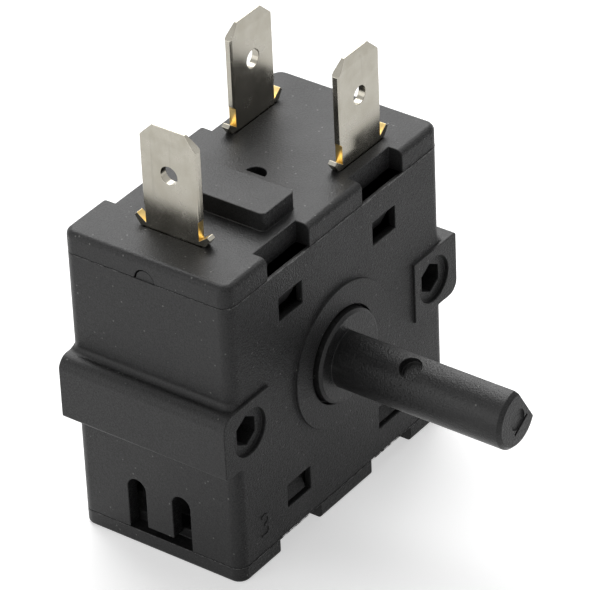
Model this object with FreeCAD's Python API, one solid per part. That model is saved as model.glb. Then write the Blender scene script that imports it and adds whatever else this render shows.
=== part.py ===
import FreeCAD, Part
import math
import os
from FreeCAD import Vector

# Panel-mounted rotary switch with a D-shaped shaft and three push-on tabs.
# Millimetres. The origin lies on the shaft's axis in the mounting plane.
# +X is to the right seen from the front, +Y goes back into the switch, +Z is up.

# Case
CASE_WIDTH = 32.8
CASE_DEPTH = 18.3
CASE_ABOVE_AXIS = 13.85
CASE_BELOW_AXIS = 14.55
CASE_CORNER_R = 1.2
FRONT_WALL = 1.8
BACK_WALL = 1.5
SIDE_WALL = 1.4
PAD_HEIGHT = 0.3

# Mounting ears and their screw holes
EAR_REACH = 18.25
EAR_HEIGHT = 6.5
EAR_BIG_ROUND = 1.3
EAR_SMALL_ROUND = 0.35
EAR_FOOT_ROUND = 0.6
PAD_INNER_REACH = 11.4
SCREW_SPACING = 29.0
SCREW_ACROSS_FLATS = 2.64
SCREW_DEPTH = 12.0
COUNTERBORE_R = 2.35
COUNTERBORE_DEPTH = 0.45

# Raised disc and shaft bore in the front wall
DISC_R = 7.3
COLLAR_R = 4.6
RUNNING_CLEARANCE = 0.05
MOUTH_GAP = 0.22
MOUTH_DEPTH = 0.7

# Covers and their snap hooks
TOP_COVER_THICKNESS = 2.3
BOTTOM_COVER_THICKNESS = 1.65
TOP_EDGE_R = 0.65
BOTTOM_EDGE_R = 0.4
LIP_DEPTH = 1.0
LIP_THICKNESS = 0.7
LIP_CLEARANCE = 0.1
HOOK_OFFSET = 7.25
HOOK_WIDTH = 3.1
HOOK_THICKNESS = 1.0
HOOK_CLEARANCE = 0.1
NOTCH_WIDTH = 6.3
NOTCH_DEPTH = 1.5
WINDOW_WIDTH = 3.5
WINDOW_HEIGHT = 2.4
WINDOW_SETBACK = 2.75
WINDOW_WALL = 0.7
WINDOW_LEAD_IN = 0.3
CATCH_REACH = 0.4
KEY_R = 1.1
KEY_DEPTH = 0.5
KEY_CLEARANCE = 0.1
OVERCUT = 1.0

# Raised block and vent on the top cover
BLOCK_LEFT = -7.15
BLOCK_RIGHT = -2.4
BLOCK_LENGTH = 13.0
BLOCK_HEIGHT = 1.85
BLOCK_CORNER_R = 0.5
VENT_R = 1.05
VENT_FLAT_X = 0.35

# Spring tongue in the left wall
TONGUE_WIDTH = 3.0
TONGUE_SLOT = 2.05
TONGUE_SLOT_TOP = 5.7
TONGUE_FOOT_GAP = 0.7

# Shaft end
SHAFT_R = 3.0
SHAFT_ACROSS_FLAT = 4.6
SHAFT_REACH = 18.95
SHAFT_CHAMFER = 0.35
FLAT_ANGLE = 31.25
COLLAR_REACH = 0.7
COLLAR_CHAMFER = 0.25
RECESS_R = 1.1
RECESS_DEPTH = 0.9
RECESS_FROM_PANEL = 8.45
GATE_R = 1.05
GATE_DEPTH = 0.2
TIP_SLOT_OFFSET = 1.0
TIP_SLOT_LENGTH = 2.3
TIP_SLOT_WIDTH = 0.25

# Camshaft inside the case
CORE_R = 2.9
GROOVE_R = 3.3
FLANGE_R = 4.45
FLANGE_THICKNESS = 0.6
CAM_WIDTH = 3.0
CAM_BASE_R = 3.1
CAM_RISE = 1.35
CAM_DWELL_ANGLE = 15.0
CAM_FALL_ANGLE = 25.0
CAM_CURVE_STEPS = 30
STEP_ANGLE = 45.0
POSITIONS = 3
STAR_R = 4.4
STAR_SIDE_GAP = 0.3
STAR_NOTCH_DEPTH = 0.65
STAR_NOTCH_R = 1.0
STOP_LUG_R = 4.4
STOP_LUG_ANGLE = 40.0
STOP_PLAY_ANGLE = 1.0
STOP_WIDTH = 1.0
JOURNAL_R = 2.5
JOURNAL_LENGTH = 1.8
BOSS_DEPTH = 1.2
BOSS_R = 5.4
END_PLAY = 0.1
FUSE_OVERLAP = 0.1

# Retaining fork
FORK_THICKNESS = 0.8
FORK_HALF_WIDTH = 5.4
FORK_LEG_TOP = 3.0

# Push-on tabs
TAB_WIDTH = 6.3
TAB_THICKNESS = 0.8
TAB_HEIGHT = 10.95
TAB_CORNER = 1.35
TAB_EDGE_CHAMFER = 0.15
TAB_TIP_BEVEL = 0.25
TAB_TIP_BEVEL_LENGTH = 1.0
TAB_HOLE_R = 0.92
TAB_HOLE_FROM_TIP = 4.65
BARB_CUT_TOP = 2.55
BARB_CUT_BOTTOM = 0.5
BARB_CUT_DEPTH = 0.2
BARB_REACH = 1.05
BARB_RISE = 1.22
BARB_TIP = 0.3
BARB_FOOT_REACH = 0.45
BARB_FOOT_RISE = 0.05
TAB_SLOT_CLEARANCE = 0.05
OUTPUT_TAB_X = 8.07
OUTPUT_TAB_SETBACK = 3.2
COMMON_TAB_X = -11.6
SHOULDER_WIDTH = 7.9
SHOULDER_HEIGHT = 1.4
SHELF_WIDTH = 4.6
SHELF_REACH = 4.3
FOOT_MARGIN = 0.35
BEND_R = 0.4

# Contacts and spring blades
BLADE_THICKNESS = 0.25
BLADE_WIDTH = 3.2
BLADE_TIP_PAST_CONTACT = 1.7
CONTACT_INSET = 2.4
BLADE_ROOT_X = -10.7
BLADE_BOTTOM = 7.2
FOOT_END_X = -7.6
CONTACT_R = 1.4
CONTACT_HEAD = 0.8
CONTACT_SHANK_R = 0.6
CONTACT_UPSET_R = 0.95
CONTACT_UPSET = 0.25
FRONT_GAP = 1.2
REAR_GAP = 2.6
RIVET_X = -9.3
RIVET_R = 0.8
RIVET_HEAD_R = 1.35
RIVET_HEAD = 0.45

# Pushers between the cams and the blades, and the web that guides them
PUSHER_SIDE = 2.4
PUSHER_CLEARANCE = 0.05
PUSHER_TIP_R = 1.2
CAM_CLEARANCE = 0.08
WEB_HALF_WIDTH = 3.4
WEB_BOTTOM = 4.85
WEB_THICKNESS = 1.45

# Detent spring and the posts on the bottom cover
DETENT_THICKNESS = 0.4
DETENT_WIDTH = 2.6
DETENT_NOSE_R = 0.9
DETENT_NOSE_GAP = 0.05
DETENT_SEAT_X = 9.5
DETENT_SEAT_Z = -9.2
DETENT_END_LENGTH = 1.6
POST_DEPTH = 4.0
POST_RIM = 1.0
POST_RIM_HEIGHT = 1.2

# Planes and places that follow from the sizes above
HALF_WIDTH = CASE_WIDTH / 2
FRONT = PAD_HEIGHT
BACK = FRONT + CASE_DEPTH
MIDDLE = FRONT + CASE_DEPTH / 2
INNER_FRONT = FRONT + FRONT_WALL
INNER_BACK = BACK - BACK_WALL
INNER_HALF_WIDTH = HALF_WIDTH - SIDE_WALL
TOP_JOINT = CASE_ABOVE_AXIS
BOTTOM_JOINT = -CASE_BELOW_AXIS
TOP = TOP_JOINT + TOP_COVER_THICKNESS
BOTTOM = BOTTOM_JOINT - BOTTOM_COVER_THICKNESS
BORE_R = COLLAR_R + RUNNING_CLEARANCE
OUTPUT_TAB_Y = {"front": FRONT + OUTPUT_TAB_SETBACK, "rear": BACK - OUTPUT_TAB_SETBACK}
TRACKS = {"front": OUTPUT_TAB_Y["front"] + CONTACT_INSET, "rear": OUTPUT_TAB_Y["rear"] - CONTACT_INSET}
CONTACT_GAP = {"front": FRONT_GAP, "rear": REAR_GAP}
TRAVEL_ANGLE = STEP_ANGLE * (POSITIONS - 1)
BOSS_FRONT = INNER_BACK - BOSS_DEPTH
STOP_FRONT = BOSS_FRONT - STOP_WIDTH
BLADE_TOP = BLADE_BOTTOM + BLADE_THICKNESS
MOVING_FACE = BLADE_TOP + CONTACT_HEAD
FOOT_BOTTOM = BLADE_BOTTOM - TAB_THICKNESS
WINDOW_MIDDLE = WINDOW_SETBACK + WINDOW_HEIGHT / 2
NEAR = 0.01


def box(x, y, z):
    """Box between two limits on each axis."""
    return Part.makeBox(x[1] - x[0], y[1] - y[0], z[1] - z[0], Vector(x[0], y[0], z[0]))


def around(centre, width):
    """Limits of a width laid evenly about a centre."""
    return (centre - width / 2, centre + width / 2)


def rod_y(radius, y, x=0.0, z=0.0):
    """Round bar along Y between two limits."""
    return Part.makeCylinder(radius, y[1] - y[0], Vector(x, y[0], z), Vector(0, 1, 0))


def rod_z(radius, z, x, y):
    """Round bar along Z between two limits."""
    return Part.makeCylinder(radius, z[1] - z[0], Vector(x, y, z[0]), Vector(0, 0, 1))


def prism_y(outline, y):
    """Prism of an (x, z) outline along Y."""
    points = [Vector(px, y[0], pz) for px, pz in outline]
    return Part.Face(Part.makePolygon(points + points[:1])).extrude(Vector(0, y[1] - y[0], 0))


def prism_x(outline, x):
    """Prism of a (y, z) outline along X."""
    points = [Vector(x[0], py, pz) for py, pz in outline]
    return Part.Face(Part.makePolygon(points + points[:1])).extrude(Vector(x[1] - x[0], 0, 0))


def rounded_block(x, y, z, radius):
    """Block whose four upright edges are rounded."""
    block = box(x, y, z)
    upright = [e for e in block.Edges if abs(e.tangentAt(e.FirstParameter).z) > 0.9]
    return block.makeFillet(radius, upright)


def polar(radius, degrees):
    """Point (x, z) at a radius and an angle from +X towards +Z."""
    return (radius * math.cos(math.radians(degrees)), radius * math.sin(math.radians(degrees)))


def on_plane(point, y):
    """Vector of an (x, z) point on the plane at y."""
    return Vector(point[0], y, point[1])


def arc_y(radius, start, end, y):
    """Arc about the shaft's axis between two angles, on the plane at y."""
    first, middle, last = [on_plane(polar(radius, angle), y) for angle in (start, (start + end) / 2, end)]
    return Part.Arc(first, middle, last).toShape()


def sector(radius, start, end, y):
    """Pie slice about the shaft's axis between two angles."""
    centre = Vector(0, y[0], 0)
    first = on_plane(polar(radius, start), y[0])
    last = on_plane(polar(radius, end), y[0])
    outline = [Part.makeLine(centre, first), arc_y(radius, start, end, y[0]), Part.makeLine(last, centre)]
    return Part.Face(Part.Wire(outline)).extrude(Vector(0, y[1] - y[0], 0))


def edges_where(shape, test):
    """Edges whose middle point and direction pass a test."""
    found = []
    for edge in shape.Edges:
        middle = edge.valueAt((edge.FirstParameter + edge.LastParameter) / 2)
        direction = edge.tangentAt((edge.FirstParameter + edge.LastParameter) / 2)
        if test(middle, direction):
            found.append(edge)
    return found


# Main body

def mounting_ear(side):
    """Bar along one side with a raised pad on its front end; side is -1 on the left."""
    outline = box((0, EAR_REACH), (0, BACK), around(0, EAR_HEIGHT))
    big, small = (EAR_HEIGHT / 2, -EAR_HEIGHT / 2) if side < 0 else (-EAR_HEIGHT / 2, EAR_HEIGHT / 2)
    for height, radius in ((big, EAR_BIG_ROUND), (small, EAR_SMALL_ROUND)):
        along_y = edges_where(outline, lambda p, d: abs(d.y) > 0.9 and abs(p.z - height) < NEAR)
        outline = outline.makeFillet(radius, [e for e in along_y if e.BoundBox.XMax > EAR_REACH - NEAR])
    bar = outline.cut(box((0, INNER_HALF_WIDTH), (FRONT, BACK), around(0, EAR_HEIGHT)))
    bar = bar.cut(box((0, PAD_INNER_REACH), (0, FRONT), around(0, EAR_HEIGHT)))
    return bar if side > 0 else bar.mirror(Vector(0, 0, 0), Vector(1, 0, 0))


def ear_foot_fillet(side, up):
    """Hollow round where an ear's top or underside meets the side wall and the case's two corners."""
    radius = EAR_FOOT_ROUND
    z = sorted((up * EAR_HEIGHT / 2, up * (EAR_HEIGHT / 2 + radius)))
    far = up * (EAR_HEIGHT / 2 + radius)
    ends = (FRONT + CASE_CORNER_R, BACK - CASE_CORNER_R)
    fillet = box((HALF_WIDTH, HALF_WIDTH + radius), ends, z)
    fillet = fillet.cut(rod_y(radius, ends, HALF_WIDTH + radius, far))
    axis_x = HALF_WIDTH - CASE_CORNER_R
    for y, outside in ((ends[0], (FRONT, ends[0])), (ends[1], (ends[1], BACK))):
        ring = rod_z(CASE_CORNER_R + radius, z, axis_x, y)
        ring = ring.cut(Part.makeTorus(CASE_CORNER_R + radius, radius, Vector(axis_x, y, far)))
        fillet = fillet.fuse(ring.common(box((axis_x, HALF_WIDTH + radius), outside, z)))
    return fillet if side > 0 else fillet.mirror(Vector(0, 0, 0), Vector(1, 0, 0))


def screw_boss(side):
    """Solid inside the case that backs one screw hole."""
    inner = SCREW_SPACING / 2 - COUNTERBORE_R
    limits = sorted((side * inner, side * INNER_HALF_WIDTH))
    return box(limits, (INNER_FRONT, COUNTERBORE_DEPTH + SCREW_DEPTH + SIDE_WALL), around(0, EAR_HEIGHT))


def screw_hole(side):
    """Hexagonal hole, corners up and down, at the bottom of a round counterbore."""
    x = side * SCREW_SPACING / 2
    corner = SCREW_ACROSS_FLATS / math.sqrt(3)
    corners = [polar(corner, 30 + 60 * i) for i in range(6)]
    depth = (COUNTERBORE_DEPTH, COUNTERBORE_DEPTH + SCREW_DEPTH)
    hexagon = prism_y([(x + corner_x, corner_z) for corner_x, corner_z in corners], depth)
    return rod_y(COUNTERBORE_R, (-OVERCUT, COUNTERBORE_DEPTH), x).fuse(hexagon)


def hook_places():
    """Sides of the four hooks of a cover: -1 or 1 along X, then -1 in front or 1 behind."""
    return [(x, y) for x in (-1, 1) for y in (-1, 1)]


def wall_face(front_or_back):
    """Outer plane of the front or back wall."""
    return FRONT if front_or_back < 0 else BACK


def inward(front_or_back, distance):
    """Plane at a distance inside the front or back wall's outer face."""
    return wall_face(front_or_back) - front_or_back * distance


def hook_window(x_side, y_side, joint, up):
    """Window in the wall, the pocket behind it and the lead-in at the joint; up is 1 at the top."""
    middle = joint - up * WINDOW_MIDDLE
    wall = max(FRONT_WALL, BACK_WALL)
    through = sorted((inward(y_side, -OVERCUT), inward(y_side, wall + OVERCUT)))
    window = box(around(x_side * HOOK_OFFSET, WINDOW_WIDTH), through, around(middle, WINDOW_HEIGHT))
    behind = sorted((inward(y_side, WINDOW_WALL), inward(y_side, wall + OVERCUT)))
    pocket_end = middle - up * (WINDOW_HEIGHT / 2 + HOOK_THICKNESS)
    pocket = box(around(x_side * HOOK_OFFSET, NOTCH_WIDTH), behind, sorted((joint, pocket_end)))
    lead_in = prism_x([(inward(y_side, WINDOW_WALL), joint),
                       (inward(y_side, WINDOW_WALL - WINDOW_LEAD_IN), joint),
                       (inward(y_side, WINDOW_WALL), joint - up * WINDOW_LEAD_IN)],
                      around(x_side * HOOK_OFFSET, NOTCH_WIDTH))
    return window.fuse(pocket).fuse(lead_in)


def tongue_slots():
    """U-shaped slot that frees a tongue in the left wall."""
    through = (-HALF_WIDTH - OVERCUT, -INNER_HALF_WIDTH + OVERCUT)
    radius = TONGUE_SLOT / 2
    cut = box(through, around(MIDDLE, TONGUE_WIDTH + 2 * TONGUE_SLOT),
              (BOTTOM_JOINT - OVERCUT, BOTTOM_JOINT + TONGUE_FOOT_GAP))
    for side in (-1, 1):
        y = MIDDLE + side * (TONGUE_WIDTH + TONGUE_SLOT) / 2
        straight = BOTTOM_JOINT + TONGUE_SLOT_TOP - radius
        cut = cut.fuse(box(through, around(y, TONGUE_SLOT), (BOTTOM_JOINT - OVERCUT, straight)))
        round_top = Part.makeCylinder(radius, through[1] - through[0], Vector(through[0], y, straight),
                                      Vector(1, 0, 0))
        cut = cut.fuse(round_top)
    return cut


def pusher_web():
    """Bridge over the camshaft with a guide hole for each pusher."""
    web = box((-WEB_HALF_WIDTH, WEB_HALF_WIDTH), (INNER_FRONT, INNER_BACK),
              (WEB_BOTTOM, WEB_BOTTOM + WEB_THICKNESS))
    hole = PUSHER_SIDE + 2 * PUSHER_CLEARANCE
    for y in TRACKS.values():
        web = web.cut(box(around(0, hole), around(y, hole), (WEB_BOTTOM, WEB_BOTTOM + WEB_THICKNESS)))
    return web


def rear_bearing():
    """Boss on the back wall and the C-shaped stop in front of it."""
    boss = rod_y(BOSS_R, (BOSS_FRONT, INNER_BACK))
    free = TRAVEL_ANGLE + STOP_LUG_ANGLE + STOP_PLAY_ANGLE
    start = 90 - STOP_LUG_ANGLE / 2 - STOP_PLAY_ANGLE / 2 - TRAVEL_ANGLE
    depth = (STOP_FRONT, BOSS_FRONT)
    ring = rod_y(BOSS_R, depth).cut(rod_y(CORE_R + 2 * END_PLAY, depth))
    return boss.fuse(ring.cut(sector(2 * BOSS_R, start, start + free, depth)))


def cover_key(side):
    """Half-round key on the side wall's rim that places the top cover."""
    x = sorted((side * (HALF_WIDTH - KEY_DEPTH + KEY_CLEARANCE), side * (HALF_WIDTH - KEY_CLEARANCE)))
    start = Vector(x[0], MIDDLE, TOP_JOINT)
    key = Part.makeCylinder(KEY_R - KEY_CLEARANCE, x[1] - x[0], start, Vector(1, 0, 0))
    return key.common(box(x, (FRONT, BACK), (TOP_JOINT, TOP)))


def main_body():
    body = rounded_block((-HALF_WIDTH, HALF_WIDTH), (FRONT, BACK), (BOTTOM_JOINT, TOP_JOINT), CASE_CORNER_R)
    body = body.cut(box((-INNER_HALF_WIDTH, INNER_HALF_WIDTH), (INNER_FRONT, INNER_BACK),
                        (BOTTOM_JOINT, TOP_JOINT)))
    body = body.fuse([rod_y(DISC_R, (0, FRONT)), rear_bearing(), pusher_web()])
    for side in (-1, 1):
        body = body.fuse([mounting_ear(side), screw_boss(side), cover_key(side)])
        body = body.fuse([ear_foot_fillet(side, -1), ear_foot_fillet(side, 1)])
    for joint, up in ((TOP_JOINT, 1), (BOTTOM_JOINT, -1)):
        for x_side, y_side in hook_places():
            body = body.cut(hook_window(x_side, y_side, joint, up))
    body = body.cut(tongue_slots())
    body = body.cut(rod_y(BORE_R, (-OVERCUT, INNER_FRONT)))
    body = body.cut(rod_y(COLLAR_R + MOUTH_GAP, (-OVERCUT, MOUTH_DEPTH)))
    journal_end = BOSS_FRONT + JOURNAL_LENGTH + END_PLAY
    body = body.cut(rod_y(JOURNAL_R + RUNNING_CLEARANCE, (BOSS_FRONT, journal_end)))
    for side in (-1, 1):
        body = body.cut(screw_hole(side))
    return body.removeSplitter()


# Covers

def cover_slab(far, joint, edge_radius):
    """Plate from the joint plane to its far face, rounded like the case, with a rounded far edge."""
    slab = rounded_block((-HALF_WIDTH, HALF_WIDTH), (FRONT, BACK), sorted((far, joint)), CASE_CORNER_R)
    rim = edges_where(slab, lambda p, d: abs(p.z - far) < NEAR)
    return slab.makeFillet(edge_radius, rim)


def cover_lip(joint, up):
    """Ring below the plate that locates it in the case, left out beside the hooks."""
    depth = sorted((joint, joint - up * LIP_DEPTH))
    half = INNER_HALF_WIDTH - LIP_CLEARANCE
    front = INNER_FRONT + LIP_CLEARANCE
    back = INNER_BACK - LIP_CLEARANCE
    lip = box((-half, half), (front, back), depth)
    lip = lip.cut(box((-half + LIP_THICKNESS, half - LIP_THICKNESS),
                      (front + LIP_THICKNESS, back - LIP_THICKNESS), depth))
    clear = HOOK_OFFSET + NOTCH_WIDTH / 2 + HOOK_CLEARANCE
    return lip.cut(box((-clear, clear), (FRONT, BACK), depth))


def snap_hook(x_side, y_side, joint, up):
    """Springy arm with a catch that sits in its window."""
    x = around(x_side * HOOK_OFFSET, HOOK_WIDTH)
    outer = inward(y_side, NOTCH_DEPTH)
    inner = inward(y_side, NOTCH_DEPTH + HOOK_THICKNESS)
    nose = inward(y_side, CATCH_REACH)
    shelf = joint - up * (WINDOW_SETBACK + HOOK_CLEARANCE)
    end = joint - up * (WINDOW_SETBACK + WINDOW_HEIGHT)
    arm = box(x, sorted((outer, inner)), sorted((joint + up * HOOK_THICKNESS, end)))
    catch = prism_x([(outer, shelf), (nose, shelf), (nose, shelf - up * HOOK_CLEARANCE), (outer, end)], x)
    return arm.fuse(catch)


def hook_notch(x_side, y_side, joint, far):
    """Gap in the cover's edge beside each hook, where the mould reaches the catch."""
    y = sorted((wall_face(y_side), inward(y_side, NOTCH_DEPTH)))
    return box(around(x_side * HOOK_OFFSET, NOTCH_WIDTH), y, sorted((joint, far)))


def cover(joint, far, up, edge_radius):
    """Cover plate with its lip, hooks and notches."""
    plate = cover_slab(far, joint, edge_radius)
    for x_side, y_side in hook_places():
        plate = plate.cut(hook_notch(x_side, y_side, joint, far))
    plate = plate.fuse([cover_lip(joint, up)])
    for x_side, y_side in hook_places():
        plate = plate.fuse(snap_hook(x_side, y_side, joint, up))
    return plate


def tab_slot(width_along_x, x, y):
    """Slot in the top cover for one tab."""
    long_side = TAB_WIDTH + 2 * TAB_SLOT_CLEARANCE
    short_side = TAB_THICKNESS + 2 * TAB_SLOT_CLEARANCE
    sides = (long_side, short_side) if width_along_x else (short_side, long_side)
    return box(around(x, sides[0]), around(y, sides[1]), (TOP_JOINT, TOP))


def top_cover():
    plate = cover(TOP_JOINT, TOP, 1, TOP_EDGE_R)
    through = (TOP_JOINT, TOP)
    plate = plate.fuse(rounded_block((BLOCK_LEFT, BLOCK_RIGHT), around(MIDDLE, BLOCK_LENGTH),
                                     (TOP_JOINT, TOP + BLOCK_HEIGHT), BLOCK_CORNER_R))
    vent = rod_z(VENT_R, through, VENT_FLAT_X, MIDDLE)
    plate = plate.cut(vent.cut(box((VENT_FLAT_X - VENT_R, VENT_FLAT_X), (FRONT, BACK), through)))
    for side in (-1, 1):
        left = min(side * (HALF_WIDTH - KEY_DEPTH), side * HALF_WIDTH)
        start = Vector(left, MIDDLE, TOP_JOINT)
        plate = plate.cut(Part.makeCylinder(KEY_R, KEY_DEPTH, start, Vector(1, 0, 0)))
    for y in OUTPUT_TAB_Y.values():
        plate = plate.cut(tab_slot(True, OUTPUT_TAB_X, y))
    plate = plate.cut(tab_slot(False, COMMON_TAB_X, MIDDLE))
    return plate.removeSplitter()


def detent_post(side):
    """Post that carries one end of the detent spring, with a rim outside it."""
    inner = side * (DETENT_SEAT_X - DETENT_END_LENGTH)
    edge = side * (DETENT_SEAT_X + DETENT_END_LENGTH)
    outer = side * (DETENT_SEAT_X + DETENT_END_LENGTH + POST_RIM)
    y = around(MIDDLE, POST_DEPTH)
    post = box(sorted((inner, outer)), y, (BOTTOM_JOINT, DETENT_SEAT_Z))
    return post.fuse(box(sorted((edge, outer)), y, (DETENT_SEAT_Z, DETENT_SEAT_Z + POST_RIM_HEIGHT)))


def bottom_cover():
    plate = cover(BOTTOM_JOINT, BOTTOM, -1, BOTTOM_EDGE_R)
    return plate.fuse([detent_post(-1), detent_post(1)]).removeSplitter()


# Camshaft

def cam(y):
    """Snail cam: its radius grows evenly over the shaft's travel, then drops back."""
    start = 90.0
    end = start + TRAVEL_ANGLE
    drop = end + CAM_DWELL_ANGLE
    foot = drop + CAM_FALL_ANGLE
    top = CAM_BASE_R + CAM_RISE
    y0 = y - CAM_WIDTH / 2
    rise = []
    for i in range(CAM_CURVE_STEPS + 1):
        share = i / CAM_CURVE_STEPS
        rise.append(on_plane(polar(CAM_BASE_R + CAM_RISE * share, start + TRAVEL_ANGLE * share), y0))
    curve = Part.BSplineCurve()
    curve.interpolate(rise)
    edges = [curve.toShape()]
    edges.append(arc_y(top, end, drop, y0))
    edges.append(Part.makeLine(on_plane(polar(top, drop), y0), on_plane(polar(CAM_BASE_R, foot), y0)))
    edges.append(arc_y(CAM_BASE_R, foot, start + 360, y0))
    return Part.Face(Part.Wire(edges)).extrude(Vector(0, CAM_WIDTH, 0))


def detent_star():
    """Wheel with a rounded notch for each step all round."""
    beside_pusher = PUSHER_SIDE / 2 + STAR_SIDE_GAP
    y = (TRACKS["front"] + beside_pusher, TRACKS["rear"] - beside_pusher)
    wheel = rod_y(STAR_R, y)
    for i in range(round(360 / STEP_ANGLE)):
        x, z = polar(STAR_R - STAR_NOTCH_DEPTH + STAR_NOTCH_R, -90 + i * STEP_ANGLE)
        wheel = wheel.cut(rod_y(STAR_NOTCH_R, y, x, z))
    return wheel


def shaft_end():
    """D-shaped shaft outside the case, chamfered at its tip."""
    tip = -SHAFT_REACH
    shaft = rod_y(SHAFT_R, (tip, 0))
    shaft = shaft.makeChamfer(SHAFT_CHAMFER, edges_where(shaft, lambda p, d: abs(p.y - tip) < NEAR))
    slab = box((SHAFT_ACROSS_FLAT - SHAFT_R, SHAFT_R), (tip, -COLLAR_REACH), around(0, 2 * SHAFT_R))
    recess = Part.makeCylinder(RECESS_R, SHAFT_R, Vector(0, -RECESS_FROM_PANEL, SHAFT_R - RECESS_DEPTH),
                               Vector(0, 0, 1))
    shallow = (tip, tip + GATE_DEPTH)
    slot = box(around(0, TIP_SLOT_LENGTH), shallow, around(-TIP_SLOT_OFFSET, TIP_SLOT_WIDTH))
    gate = rod_y(GATE_R, shallow)
    shaft = shaft.cut(slab).cut(recess).cut(slot).cut(gate)
    shaft.rotate(Vector(0, 0, 0), Vector(0, 1, 0), -FLAT_ANGLE)
    return shaft


def camshaft():
    fork_gap = FORK_THICKNESS + END_PLAY
    groove = (INNER_FRONT, INNER_FRONT + fork_gap)
    flange = (groove[1], groove[1] + FLANGE_THICKNESS)
    collar = rod_y(COLLAR_R, (-COLLAR_REACH, INNER_FRONT))
    rim = edges_where(collar, lambda p, d: abs(p.y + COLLAR_REACH) < NEAR)
    collar = collar.makeChamfer(COLLAR_CHAMFER, rim)
    lug = sector(STOP_LUG_R, 90 - STOP_LUG_ANGLE / 2, 90 + STOP_LUG_ANGLE / 2,
                 (STOP_FRONT - END_PLAY, BOSS_FRONT - END_PLAY))
    return shaft_end().fuse([
        collar,
        rod_y(GROOVE_R, groove),
        rod_y(FLANGE_R, flange),
        rod_y(CORE_R, (flange[1] - FUSE_OVERLAP, BOSS_FRONT - END_PLAY)),
        cam(TRACKS["front"]),
        detent_star(),
        cam(TRACKS["rear"]),
        lug,
        rod_y(JOURNAL_R, (BOSS_FRONT - END_PLAY, BOSS_FRONT + JOURNAL_LENGTH)),
    ]).removeSplitter()


def retaining_fork():
    """Steel plate pushed up behind the front wall, its legs in the shaft's groove."""
    y = (INNER_FRONT + END_PLAY / 2, INNER_FRONT + END_PLAY / 2 + FORK_THICKNESS)
    slot = GROOVE_R + RUNNING_CLEARANCE
    plate = box((-FORK_HALF_WIDTH, FORK_HALF_WIDTH), y, (BOTTOM_JOINT, FORK_LEG_TOP))
    plate = plate.cut(box((-slot, slot), y, (0, FORK_LEG_TOP)))
    return plate.cut(rod_y(slot, y)).removeSplitter()


# Tabs

def barb(side):
    """Sliver sheared from the tab's edge and bent outwards; it keeps the tab from being pushed in."""
    edge = side * TAB_WIDTH / 2
    root = edge - side * BARB_CUT_DEPTH
    tip = edge + side * BARB_REACH
    foot = edge + side * BARB_FOOT_REACH
    return [(root, TOP + BARB_CUT_BOTTOM), (tip - side * BARB_TIP, TOP + BARB_RISE),
            (tip, TOP + BARB_RISE - BARB_TIP), (foot, TOP + BARB_FOOT_RISE), (root, TOP + BARB_FOOT_RISE)]


def barb_cut(side):
    """Step left in the tab's edge where the barb was sheared out."""
    edge = side * TAB_WIDTH / 2
    root = edge - side * BARB_CUT_DEPTH
    past = edge + side * BARB_CUT_DEPTH
    return [(root, TOP + BARB_CUT_BOTTOM), (root, TOP + BARB_CUT_TOP - BARB_CUT_DEPTH),
            (edge, TOP + BARB_CUT_TOP), (past, TOP + BARB_CUT_TOP), (past, TOP + BARB_CUT_BOTTOM)]


def tab_blade():
    """Tab standing on its width along X, centred on x = 0 and y = 0, down to the cover's underside."""
    half = TAB_WIDTH / 2
    tip = TOP + TAB_HEIGHT
    y = around(0, TAB_THICKNESS)
    outline = [(-half, TOP_JOINT), (half, TOP_JOINT), (half, tip - TAB_CORNER), (half - TAB_CORNER, tip),
               (-half + TAB_CORNER, tip), (-half, tip - TAB_CORNER)]
    blade = prism_y(outline, y)
    for side in (-1, 1):
        face = side * TAB_THICKNESS / 2
        wedge = [(face, tip - TAB_TIP_BEVEL_LENGTH), (face, tip), (face - side * TAB_TIP_BEVEL, tip)]
        blade = blade.cut(prism_x(wedge, (-half, half)))
    sides = edges_where(blade, lambda p, d: abs(abs(p.x) - half) < NEAR and abs(d.z) > 0.9)
    blade = blade.makeChamfer(TAB_EDGE_CHAMFER, sides)
    for side in (-1, 1):
        blade = blade.cut(prism_y(barb_cut(side), y)).fuse(prism_y(barb(side), y))
    return blade.cut(rod_y(TAB_HOLE_R, y, 0, tip - TAB_HOLE_FROM_TIP))


def tab_shoulder():
    """Wider part of the tab that rests against the cover from below."""
    return box(around(0, SHOULDER_WIDTH), around(0, TAB_THICKNESS),
               (TOP_JOINT - SHOULDER_HEIGHT, TOP_JOINT))


def bent_strip(width, start, end, level, toward):
    """Leg down from start that bends into a level shelf; width lies along X, toward is 1 or -1 along Y."""
    half = TAB_THICKNESS / 2
    inner = BEND_R
    outer = BEND_R + TAB_THICKNESS
    near = toward * half
    centre = (near + toward * inner, level + outer)
    leg = box(around(0, width), (-half, half), (centre[1], start))
    shelf = box(around(0, width), sorted((centre[0], toward * end)), (level, level + TAB_THICKNESS))
    bend_start = Vector(-width / 2, centre[0], centre[1])
    corner = Part.makeCylinder(outer, width, bend_start, Vector(1, 0, 0))
    corner = corner.cut(Part.makeCylinder(inner, width, bend_start, Vector(1, 0, 0)))
    quarter = box(around(0, width), sorted((centre[0], centre[0] - toward * outer)), (level, centre[1]))
    return leg.fuse([shelf, corner.common(quarter)])


def output_terminal(name):
    """Front or rear tab with a shelf that holds its fixed contact over the blade."""
    toward = 1 if name == "front" else -1
    level = MOVING_FACE + CONTACT_GAP[name] + CONTACT_HEAD
    leg = bent_strip(SHELF_WIDTH, TOP_JOINT - SHOULDER_HEIGHT / 2, SHELF_REACH, level, toward)
    hole = rod_z(CONTACT_SHANK_R, (level, level + TAB_THICKNESS), 0, toward * CONTACT_INSET)
    terminal = tab_blade().fuse([tab_shoulder(), leg]).cut(hole)
    terminal.translate(Vector(OUTPUT_TAB_X, OUTPUT_TAB_Y[name], 0))
    return terminal.removeSplitter()


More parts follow.
